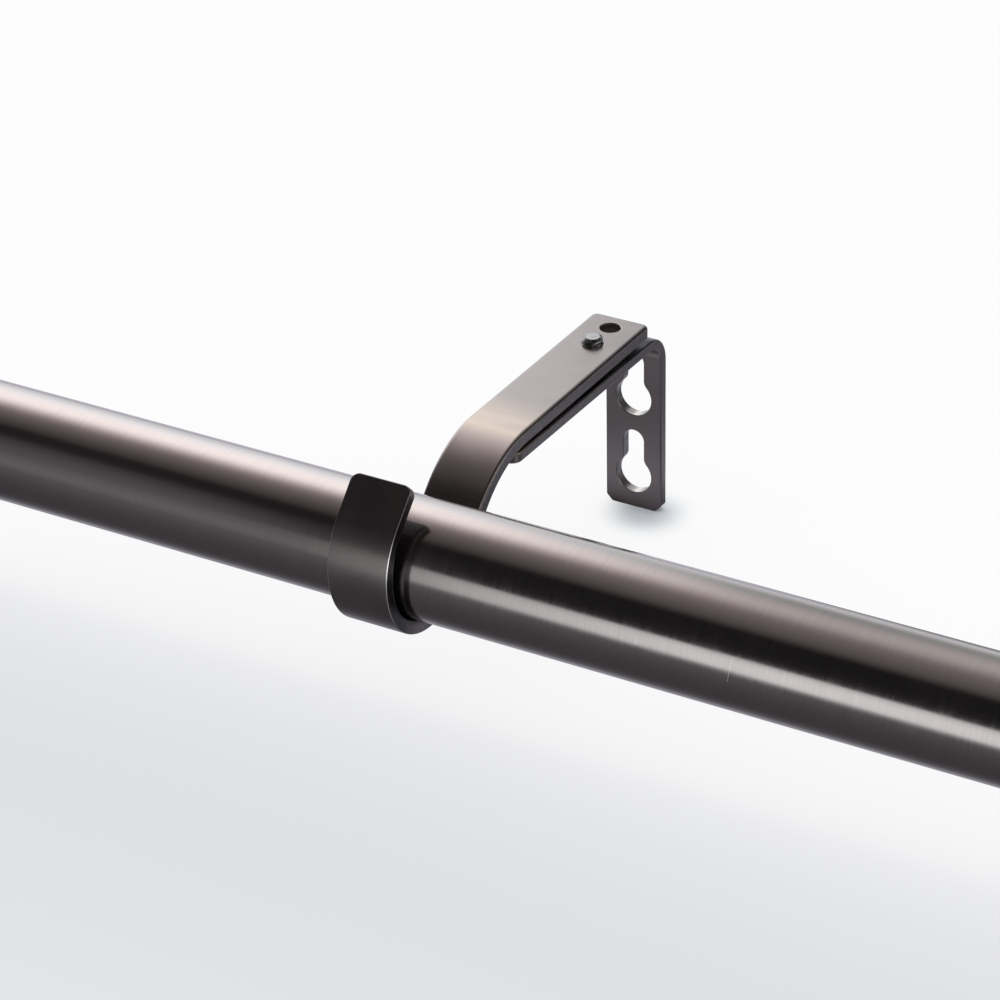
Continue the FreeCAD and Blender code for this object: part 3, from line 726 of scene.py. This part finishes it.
def panel_light(
    name, angles, tints, strength, left, right, share_over, share, fade=None, far=None, far_from=None
):
    """Light on a bent panel: it follows the angle about the rod, and changes from left to right.

    It may fade on the right, and follow one more set of stops beyond that.
    """
    material, g = new_material(name)
    x, y, z = g.split(g.where())
    forward = g.maths("SUBTRACT", rod_axis.y, y)
    up = g.maths("SUBTRACT", z, rod_axis.z)
    turn = g.spread(g.maths("ARCTAN2", up, forward), *map(math.radians, angles))

    def along_arc(stops):
        return g.ramp(turn, in_range(stops, angles))

    level = g.mix(g.ramp(g.spread(x, *share_over), share), along_arc(left), along_arc(right))
    if fade:
        level = g.product(level, g.spread(x, *fade, smooth=True))
    if far:
        level = g.mix(g.rise(x, *far_from), level, along_arc(far))
    g.surface(g.glow(along_arc(tints), g.product(level, strength)))
    return material


def make_panels():
    """A soft light overhead and behind, a low strip light in front, a dark card between them and a glint."""
    top = panel_light(
        "top_light", TOP_ANGLES, TOP_TINTS, TOP_STRENGTH, TOP_LEFT, TOP_RIGHT, TOP_SHARE_OVER, TOP_SHARE,
        fade=TOP_FADE, far=TOP_FAR, far_from=TOP_FAR_FROM,
    )
    arc_panel("top_panel", TOP_RADIUS, TOP_ANGLES, TOP_WIDTH, top)
    strip = panel_light(
        "strip_light", STRIP_ANGLES, STRIP_TINTS, STRIP_STRENGTH, STRIP_LEFT, STRIP_RIGHT,
        STRIP_SHARE_OVER, STRIP_SHARE,
    )
    arc_panel("strip_panel", STRIP_RADIUS, STRIP_ANGLES, STRIP_WIDTH, strip)
    dark = panel_light(
        "dark_card", DARK_ANGLES, DARK_TINTS, DARK_STRENGTH, DARK_LEFT, DARK_RIGHT,
        DARK_SHARE_OVER, DARK_SHARE, far=DARK_FAR, far_from=DARK_FAR_FROM,
    )
    arc_panel("dark_panel", DARK_RADIUS, DARK_ANGLES, DARK_WIDTH, dark)
    glint = plain_light("glint_light", WARM_WHITE, GLINT_STRENGTH)
    arc_panel("glint_panel", GLINT_RADIUS, GLINT_ANGLES, GLINT_WIDTH, glint)


def make_low_card():
    """The floor as the metal sees it: dark in the rod's shade, brighter by the plates and far in front."""
    material, g = new_material("low_card")
    x, y, z = g.split(g.where())
    along = g.spread(y, *LOW_REACH)
    left, right, far = (g.ramp(along, in_range(stops, LOW_REACH)) for stops in (LOW_LEFT, LOW_RIGHT, LOW_FAR))
    level = g.mix(g.spread(x, *LOW_RIGHT_FROM), left, right)
    level = g.mix(g.rise(x, *LOW_FAR_FROM), level, far)
    g.surface(g.glow(LOW_TINT, level))
    card = new_piece("low_card", flat_sheet(LOW_SIZE), material)
    card.location = (0, 0, plate_foot - LOW_DROP)
    only_in_metal(card)


def make_room():
    """The dim room beyond the cards, as the metal sees it."""
    mesh = bmesh.new()
    bmesh.ops.create_uvsphere(mesh, u_segments=32, v_segments=16, radius=ROOM_RADIUS)
    only_in_metal(new_piece("room", mesh, plain_light("dim_room", COOL_DARK, ROOM_STRENGTH)))


# The camera, at the photograph's viewing angle

CAMERA_TARGET = Vector((23.973, -103.9, 40.814)) * MM
CAMERA_AZIMUTH = math.radians(30.599)
CAMERA_ELEVATION = math.radians(29.756)
CAMERA_ROLL = math.radians(-1.293)
CAMERA_DISTANCE = 758.434 * MM
SENSOR_WIDTH = 36.0
FOCAL_PIXELS = 3765.586
IMAGE_PIXELS = 1000


def make_camera():
    """The camera, aimed at its target from the photograph's side and turned by its roll."""
    azimuth, elevation, roll = CAMERA_AZIMUTH, CAMERA_ELEVATION, CAMERA_ROLL
    level_back = Vector((math.sin(azimuth), -math.cos(azimuth), 0)) * math.cos(elevation)
    back = level_back + Vector((0, 0, math.sin(elevation)))
    right = Vector((math.cos(azimuth), math.sin(azimuth), 0))
    up = back.cross(right)
    right_rolled = right * math.cos(roll) + up * math.sin(roll)
    up_rolled = up * math.cos(roll) - right * math.sin(roll)
    data = bpy.data.cameras.new("camera")
    data.sensor_width = SENSOR_WIDTH
    data.lens = SENSOR_WIDTH * FOCAL_PIXELS / IMAGE_PIXELS
    camera = bpy.data.objects.new("camera", data)
    bpy.context.scene.collection.objects.link(camera)
    position = CAMERA_TARGET + back * CAMERA_DISTANCE
    for row in range(3):
        camera.matrix_world[row][:] = (right_rolled[row], up_rolled[row], back[row], position[row])
    bpy.context.scene.camera = camera


dress_nodes()
for side in ("left", "right"):
    add_thread(side)
make_floor()
make_world()
make_panels()
make_low_card()
make_room()
make_camera()
bpy.context.scene.view_settings.view_transform = "Standard"
